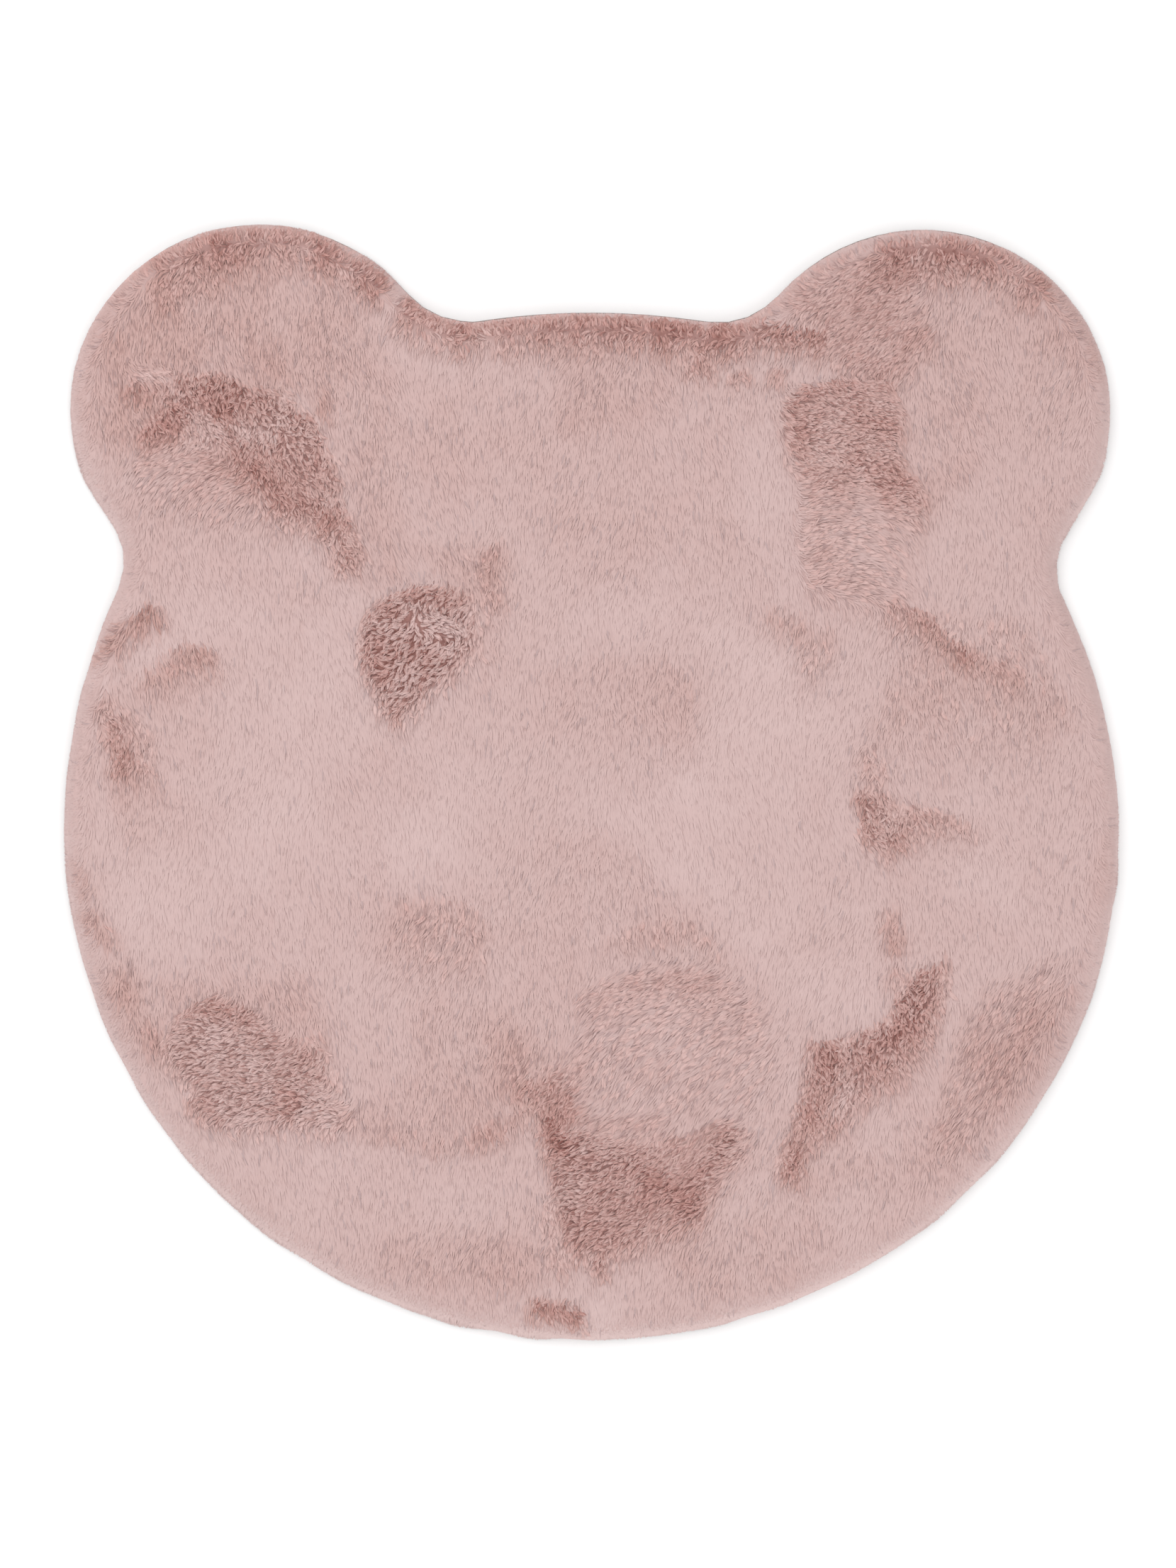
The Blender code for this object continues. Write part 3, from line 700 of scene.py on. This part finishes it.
def make_body():
    """The dense mass of the fur: one closed piece under the hairs, flat where it meets the backing."""
    rng = np.random.default_rng(SEED)
    rings = [inset_line(inset * MM, RING_STEP) for inset in RIM_RINGS]
    middle = lattice(BODY_CELL, (RIM_RINGS[-1] + RINGS_CLEAR) * MM, rng, BODY_JITTER)
    plan = np.concatenate([*rings, middle])
    on_rim = len(rings[0])
    rim_edges = [(index, (index + 1) % on_rim) for index in range(on_rim)]
    flat, _, faces, sources, _, _ = mathutils.geometry.delaunay_2d_cdt(
        [Vector(point) for point in plan], rim_edges, [], 0, 1e-7, True
    )
    flat = np.array([tuple(point) for point in flat])
    # A triangle between three points of the outermost ring lies outside the outline, in a notch
    rim_point = [min(source) < on_rim for source in sources]
    faces = [list(face) for face in faces if not all(rim_point[index] for index in face)]
    height = np.maximum(sample(SURFACE, flat[:, 0], flat[:, 1]), RIM_HEIGHT)
    mesh = bpy.data.meshes.new("fur_body")
    mesh.from_pydata(np.column_stack([flat, height]).tolist(), [], faces)
    shape = bmesh.new()
    shape.from_mesh(mesh)
    rim = [edge for edge in shape.edges if edge.is_boundary]
    wall = bmesh.ops.extrude_edge_only(shape, edges=rim)
    lower = {item for item in wall["geom"] if isinstance(item, bmesh.types.BMVert)}
    for vertex in lower:
        vertex.co.z = FUR_BOTTOM
    lower_edges = [item for item in wall["geom"] if isinstance(item, bmesh.types.BMEdge)]
    lower_edges = [edge for edge in lower_edges if lower.issuperset(edge.verts)]
    bmesh.ops.contextual_create(shape, geom=lower_edges)
    bmesh.ops.recalc_face_normals(shape, faces=shape.faces)
    shape.to_mesh(mesh)
    shape.free()
    mesh.shade_smooth()
    store_shade(mesh)
    return new_object("fur_body", mesh)


def new_object(name, data):
    made = bpy.data.objects.new(name, data)
    bpy.context.scene.collection.objects.link(made)
    return made


def store_shade(mesh):
    """Store the painted shade at each of the body's points, which is darkest between locks."""
    x, y, _ = points_of(mesh).T
    lift, locks = sample(NAP["lift"], x, y), sample(NAP["locks"], x, y)
    layer = mesh.attributes.new("shade", "FLOAT", "POINT")
    layer.data.foreach_set("value", np.clip(SHADE_OF_LIFT * lift + SHADE_OF_LOCKS * locks, 0, 1))


def spread(pair, field):
    """The spread at each value of a map."""
    return pair[0] + pair[1] * field


def grow_hairs(roots, kind, rng):
    """Wisps of one kind from the roots: their hairs' points, directions, tilts and tones."""
    wisps = len(roots)
    segments = len(kind.shares)
    lift = sample(NAP["lift"], *roots.T)
    locks = sample(NAP["locks"], *roots.T)
    tangle = sample(NAP["tangle"], *roots.T)
    swing = rng.normal(0, 1, wisps) * np.radians(kind.swing + spread(WISP_SWING, tangle))
    bend = rng.normal(0, 1, wisps) * np.radians(spread(WISP_BEND, tangle))
    stand = rng.uniform(-WISP_STAND, WISP_STAND, wisps)
    wisp_tone = spread(WISP_TONE, locks) * rng.normal(0, 1, wisps)
    length = kind.length * MM * rng.uniform(*WISP_LENGTHS, wisps)
    length = length * (1 - kind.shrink * np.clip(lift + locks, 0, 1))
    middle = np.zeros((segments + 1, wisps, 2))
    forward = np.zeros((segments + 1, wisps, 2))
    middle[0] = roots
    for step, share in enumerate(kind.shares):
        nap_x, nap_y = sample(NAP["nap_x"], *middle[step].T), sample(NAP["nap_y"], *middle[step].T)
        forward[step] = np.stack(turned_by(nap_x, nap_y, swing + bend * step), axis=1)
        middle[step + 1] = middle[step] + forward[step] * (length * share)[:, None]
    forward[segments] = forward[segments - 1]

    # Each hair's wisp, its place across it from -1 to 1, and its points beside the middle line
    wisp = np.repeat(np.arange(wisps), kind.hairs)
    place = (np.tile(np.arange(kind.hairs), wisps) + rng.uniform(0, 1, len(wisp))) / kind.hairs
    place = 2 * place - 1
    along = kind.stagger * MM * rng.uniform(-1, 1, len(wisp))
    grown = rng.uniform(*HAIR_LENGTHS, len(wisp))
    points = np.zeros((segments + 1, len(wisp), 3))
    reached = np.concatenate([[0.0], np.cumsum(kind.shares)])
    for step in range(segments + 1):
        ahead = forward[step, wisp]
        aside = np.stack([-ahead[:, 1], ahead[:, 0]], axis=1)
        beside = place * kind.reach * MM * (1 - kind.gather * reached[step])
        run = (middle[step] - middle[0])[wisp] * grown[:, None]
        points[step, :, :2] = roots[wisp] + run + ahead * along[:, None] + aside * beside[:, None]
    keep = sample(NAP["inside"], *points[0, :, :2].T) > ROOTS_INSIDE
    points, wisp, place = points[:, keep], wisp[keep], place[keep]
    keep_inside_outline(points, rng)

    # The hairs' heights, higher in the middle of a wisp where it is raised
    raised = (np.clip(lift + locks, 0, 1) * (1 + stand))[wisp]
    vary = rng.normal(0, 1, len(wisp)) * spread(HAIR_HEIGHT_MM, locks[wisp])
    crown = kind.crown * raised * (0.5 - place**2)
    for step in range(segments + 1):
        clear = kind.low[step] * (1 - raised) + kind.high[step] * raised
        ground = sample(SURFACE, points[step, :, 0], points[step, :, 1])
        points[step, :, 2] = ground + (clear + crown + vary) * MM
    points[:, :, 2] = np.maximum(points[:, :, 2], LINE_CLEAR)
    tilt = -CROWN_TILT * kind.crown * raised * place + rng.normal(0, HAIR_TILT, len(wisp))

    # Tones differ at random, with painted shade on raised hairs and on a raised wisp's outer ones, and
    # painted light on its middle ones
    tone = kind.tone - (HAIR_SHADE_OF_LIFT * lift + kind.parted * locks - wisp_tone)[wisp]
    tone = tone - CROWN_SHADE_AND_LIGHT * kind.crown * raised * (place**2 - 0.3)
    tone = tone + rng.normal(0, 1, len(wisp)) * spread(HAIR_TONE, locks[wisp])
    # Painted light: hairs that turn over the edge towards the chin are painted paler
    bend_x, bend_y, _ = points[1].T
    painted_light_over_edge = 1 - smoothstep(*PAINTED_LIGHT_INSIDE, sample(NAP["inside"], bend_x, bend_y))
    most = PAINTED_LIGHT_SIDE + 1
    painted_light_to_chin = np.clip(PAINTED_LIGHT_SIDE - sample(NAP["out_y"], bend_x, bend_y), 0, most)
    tone = tone + RIM_PAINTED_LIGHT * painted_light_over_edge * painted_light_to_chin / most
    return points, forward[:, wisp], np.radians(tilt), np.clip(tone, TONE_MARGIN, 1 - TONE_MARGIN)


def keep_inside_outline(points, rng):
    """Draw back each hair whose tip passes the rug's edge, so that it ends there instead."""
    tip_x, tip_y, _ = points[-1].T
    tip_inside = sample(NAP["inside"], tip_x, tip_y)
    at_chin = np.clip(CHIN_SIDE - sample(NAP["out_y"], tip_x, tip_y), 0, 1)
    uneven = (EDGE_UNEVEN + CHIN_UNEVEN * at_chin) * sample(WAVER, tip_x, tip_y)
    limit = uneven - CHIN_OVERHANG * at_chin + np.abs(rng.normal(0, TIP_UNEVEN, len(tip_inside)))
    root_inside = sample(NAP["inside"], points[0, :, 0], points[0, :, 1])
    passed = np.maximum(limit - tip_inside, 0.0)
    run = np.maximum(root_inside - tip_inside, TINY)
    scale = np.clip(1.0 - passed / run, 0.0, 1.0)[:, None]
    for step in range(1, len(points)):
        points[step, :, :2] = points[0, :, :2] + (points[step, :, :2] - points[0, :, :2]) * scale


def hair_mesh(name, points, directions, roll, tone, kind, rng):
    """A mesh of tapered ribbons, one for each hair, with tone and root-to-tip as its UV map."""
    segments = len(points) - 1
    count = points.shape[1]
    corners_each = 2 * segments + 1
    half_width = kind.width * MM / 2 * rng.uniform(*HAIR_WIDTHS, count)
    corners = np.zeros((count, corners_each, 3))
    for step in range(segments):
        ahead_x, ahead_y = directions[step].T
        side = np.stack([-ahead_y * np.cos(roll), ahead_x * np.cos(roll), np.sin(roll)], axis=1)
        reach = side * (half_width * kind.taper[step])[:, None]
        corners[:, 2 * step] = points[step] + reach
        corners[:, 2 * step + 1] = points[step] - reach
    corners[:, -1] = points[-1]
    corners[:, :, 2] = np.maximum(corners[:, :, 2], SIDE_CLEAR)

    # Each hair's faces are quads, and a triangle at the tip
    quads = [2 * step + corner for step in range(segments - 1) for corner in (0, 1, 3, 2)]
    pattern = np.array([*quads, 2 * segments - 2, 2 * segments - 1, 2 * segments])
    sizes = [4] * (segments - 1) + [3]
    first = 4 * np.arange(segments)
    mesh = bpy.data.meshes.new(name)
    mesh.vertices.add(count * corners_each)
    mesh.vertices.foreach_set("co", corners.ravel())
    mesh.loops.add(count * len(pattern))
    loops = (np.arange(count)[:, None] * corners_each + pattern).ravel()
    mesh.loops.foreach_set("vertex_index", loops.astype(np.int32))
    mesh.polygons.add(count * segments)
    starts = (np.arange(count)[:, None] * len(pattern) + first).ravel()
    mesh.polygons.foreach_set("loop_start", starts.astype(np.int32))
    mesh.polygons.foreach_set("loop_total", np.tile(sizes, count).astype(np.int32))
    mesh.update(calc_edges=True)
    mesh.shade_smooth()

    uv_layer = mesh.uv_layers.new(name=HAIR_UV)
    across = np.append(np.tile([-1.0, 1.0], segments), 0.0) * ACROSS_HAIR
    along = np.append(np.repeat(np.arange(segments) / segments, 2), 1.0)
    uv = np.zeros((count, corners_each, 2))
    uv[:, :, 0] = tone[:, None] + across
    uv[:, :, 1] = kind.root + (TIP_PLACE - kind.root) * along
    uv = np.clip(uv, UV_MARGIN, 1 - UV_MARGIN)
    uv_layer.uv.foreach_set("vector", uv[:, pattern].ravel())
    return new_object(name, mesh)


def make_hairs(finishes):
    """Every kind of hair where the nap map lets it grow, in pieces from the chin to the ears."""
    made = []
    for number, kind in enumerate(KINDS):
        rng = np.random.default_rng(SEED + number)
        roots = lattice(kind.spacing * MM, WISPS_INSIDE, rng, WISP_JITTER)
        chance = smoothstep(kind.none_at, kind.all_at, sample(NAP[kind.where], *roots.T))
        roots = roots[rng.uniform(0, 1, len(roots)) < chance]
        points, directions, tilt, tone = grow_hairs(roots, kind, rng)
        order = np.argsort(points[0, :, 1], kind="stable")
        for part, chosen in enumerate(np.array_split(order, kind.parts), start=1):
            hairs = hair_mesh(
                f"{kind.name}_{part}",
                points[:, chosen], directions[:, chosen], tilt[chosen], tone[chosen], kind, rng,
            )
            hairs.data.materials.append(finishes[kind.finish])
            made.append(hairs)
    return made


def set_inputs(node, values):
    for socket, value in values.items():
        node.inputs[socket].default_value = value


def new_material(name, values):
    """A material with its node tree and its shader, whose sockets have the values."""
    material = bpy.data.materials.new(name)
    material.use_nodes = True
    tree = material.node_tree
    shader = tree.nodes["Principled BSDF"]
    set_inputs(shader, values)
    return material, tree, shader


def ramp(tree, factor, stops):
    """A colour ramp from (place, colour) pairs."""
    node = tree.nodes.new("ShaderNodeValToRGB")
    elements = node.color_ramp.elements
    while len(elements) < len(stops):
        elements.new(0.5)
    for element, (place, colour) in zip(elements, stops):
        element.position = place
        element.color = (*colour, 1.0)
    tree.links.new(factor, node.inputs["Fac"])
    return node.outputs["Color"]


def mix_colour(tree, factor, first, second, blend="MIX"):
    """Two colours mixed by a number or an output."""
    node = tree.nodes.new("ShaderNodeMix")
    node.data_type = "RGBA"
    node.blend_type = blend
    if isinstance(factor, float):
        node.inputs[0].default_value = factor
    else:
        tree.links.new(factor, node.inputs[0])
    tree.links.new(first, node.inputs[6])
    tree.links.new(second, node.inputs[7])
    return node.outputs[2]


def noise(tree, scale):
    coordinates = tree.nodes.new("ShaderNodeTexCoord")
    node = tree.nodes.new("ShaderNodeTexNoise")
    set_inputs(node, {"Scale": scale, "Detail": 3.0})
    tree.links.new(coordinates.outputs["Object"], node.inputs["Vector"])
    return node.outputs["Fac"]


def add_bump(tree, shader, height, strength, distance):
    """Raise the surface by a height from 0 to 1 that stands for a distance."""
    bump = tree.nodes.new("ShaderNodeBump")
    set_inputs(bump, {"Strength": strength, "Distance": distance})
    tree.links.new(height, bump.inputs["Height"])
    tree.links.new(bump.outputs["Normal"], shader.inputs["Normal"])


def hair_material(name, tip_colours):
    """Pale at the tips and darker at the roots as painted shade, the more so where the hairs are raised.
    """
    material, tree, shader = new_material(name, {
        "Roughness": 0.8, "Specular IOR Level": 0.1,
        "Sheen Weight": 0.1, "Sheen Roughness": 0.5, "Sheen Tint": (1.0, 0.86, 0.84, 1.0),
    })
    uv = tree.nodes.new("ShaderNodeUVMap")
    uv.uv_map = HAIR_UV
    parts = tree.nodes.new("ShaderNodeSeparateXYZ")
    tree.links.new(uv.outputs["UV"], parts.inputs["Vector"])
    root = ramp(tree, parts.outputs["X"], ROOT_SHADE_COLOURS)
    tip = ramp(tree, parts.outputs["X"], tip_colours)
    # Painted shade: the roots' dark colour fades into the tips' along v
    out_of_root_shade = ramp(tree, parts.outputs["Y"], [(ROOT_SHADED, BLACK), (ROOT_UNSHADED, WHITE)])
    tree.links.new(mix_colour(tree, out_of_root_shade, root, tip), shader.inputs["Base Color"])
    return material


def body_material():
    """Dense fluff: pale where the nap lies flat, and dark red painted shade between the locks and under
    raised hairs.
    """
    material, tree, shader = new_material("faux fur body", {"Roughness": 0.95})
    shade = tree.nodes.new("ShaderNodeAttribute")
    shade.attribute_name = "shade"
    fluff = noise(tree, FLUFF_SCALE)
    flat = ramp(tree, fluff, [(0.35, (0.57, 0.403, 0.385)), (0.7, (0.595, 0.425, 0.407))])
    # Painted shade: the dark red that the body takes between locks and under raised hairs
    gap_shadows = ramp(tree, fluff, [(0.35, (0.25, 0.11, 0.092)), (0.7, (0.33, 0.155, 0.135))])
    tree.links.new(mix_colour(tree, shade.outputs["Fac"], flat, gap_shadows), shader.inputs["Base Color"])
    add_bump(tree, shader, fluff, 0.6, 1.0 * MM)
    return material


def backing_material():
    """A plain woven backing cloth: two sets of threads, with slow changes of tone."""
    material, tree, shader = new_material("backing cloth", {"Roughness": 0.92})
    coordinates = tree.nodes.new("ShaderNodeTexCoord")
    threads = []
    for direction in ("X", "Y"):
        wave = tree.nodes.new("ShaderNodeTexWave")
        wave.bands_direction = direction
        set_inputs(wave, {"Scale": THREAD_SCALE, "Distortion": 0.6})
        tree.links.new(coordinates.outputs["Object"], wave.inputs["Vector"])
        threads.append(wave.outputs["Fac"])
    weave = mix_colour(tree, 1.0, *threads, "MULTIPLY")
    cloth_tone = noise(tree, CLOTH_TONE_SCALE)
    tone = ramp(tree, cloth_tone, [(0.3, (0.40, 0.34, 0.32)), (0.7, (0.52, 0.45, 0.42))])
    shade = ramp(tree, weave, [(0.0, (0.72, 0.72, 0.72)), (1.0, WHITE)])
    tree.links.new(mix_colour(tree, 1.0, tone, shade, "MULTIPLY"), shader.inputs["Base Color"])
    add_bump(tree, shader, weave, 0.4, 0.4 * MM)
    return material


def make_camera():
    """Straight above, with the rug where the photograph has it."""
    metres_a_pixel = RUG_LENGTH / PHOTO_RUG_LENGTH
    data = bpy.data.cameras.new("camera")
    data.sensor_width = SENSOR
    data.lens = SENSOR * CAMERA_HEIGHT / (PHOTO_HEIGHT * metres_a_pixel)
    camera = new_object("camera", data)
    camera.location = (
        (PHOTO_WIDTH / 2 - PHOTO_RUG_CENTRE[0]) * metres_a_pixel,
        (PHOTO_RUG_CENTRE[1] - PHOTO_HEIGHT / 2) * metres_a_pixel,
        CAMERA_HEIGHT + RIM_HEIGHT,
    )
    bpy.context.scene.camera = camera


def make_light(name, location, size, power):
    """A soft square light that points at the rug."""
    data = bpy.data.lights.new(name, "AREA")
    data.size = size
    data.energy = power
    light = new_object(name, data)
    light.location = location
    light.rotation_euler = (-light.location).to_track_quat("-Z", "Y").to_euler()


def make_studio():
    """A pale floor, an even white surround and two large soft lights."""
    bpy.ops.mesh.primitive_plane_add(size=FLOOR_SIZE, location=(0.0, 0.0, -FLOOR_DROP))
    floor = bpy.context.object
    floor.name = "floor"
    finish = {"Base Color": (0.93, 0.93, 0.93, 1.0), "Roughness": 0.9}
    floor.data.materials.append(new_material("pale floor", finish)[0])
    world = bpy.data.worlds.new("studio")
    world.use_nodes = True
    set_inputs(world.node_tree.nodes["Background"], {"Color": (*WHITE, 1.0), "Strength": 0.95})
    bpy.context.scene.world = world
    make_light("key light", location=(-1.6, 1.5, 2.4), size=2.2, power=27.0)
    make_light("fill light", location=(1.1, -2.0, 2.2), size=2.2, power=18.0)
    bpy.context.scene.view_settings.view_transform = "Standard"


def main():
    make_camera()
    make_studio()
    body = make_body()
    body.data.materials.append(body_material())
    finishes = {}
    for name, tip_colours in TIP_COLOURS.items():
        finishes[name] = hair_material(f"faux fur, {name}", tip_colours)
    hairs = make_hairs(finishes)
    for piece in [body, *hairs]:
        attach(piece, "root")
    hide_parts("pile")
    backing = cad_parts["backing"]
    backing.data.materials.clear()
    backing.data.materials.append(backing_material())


main()
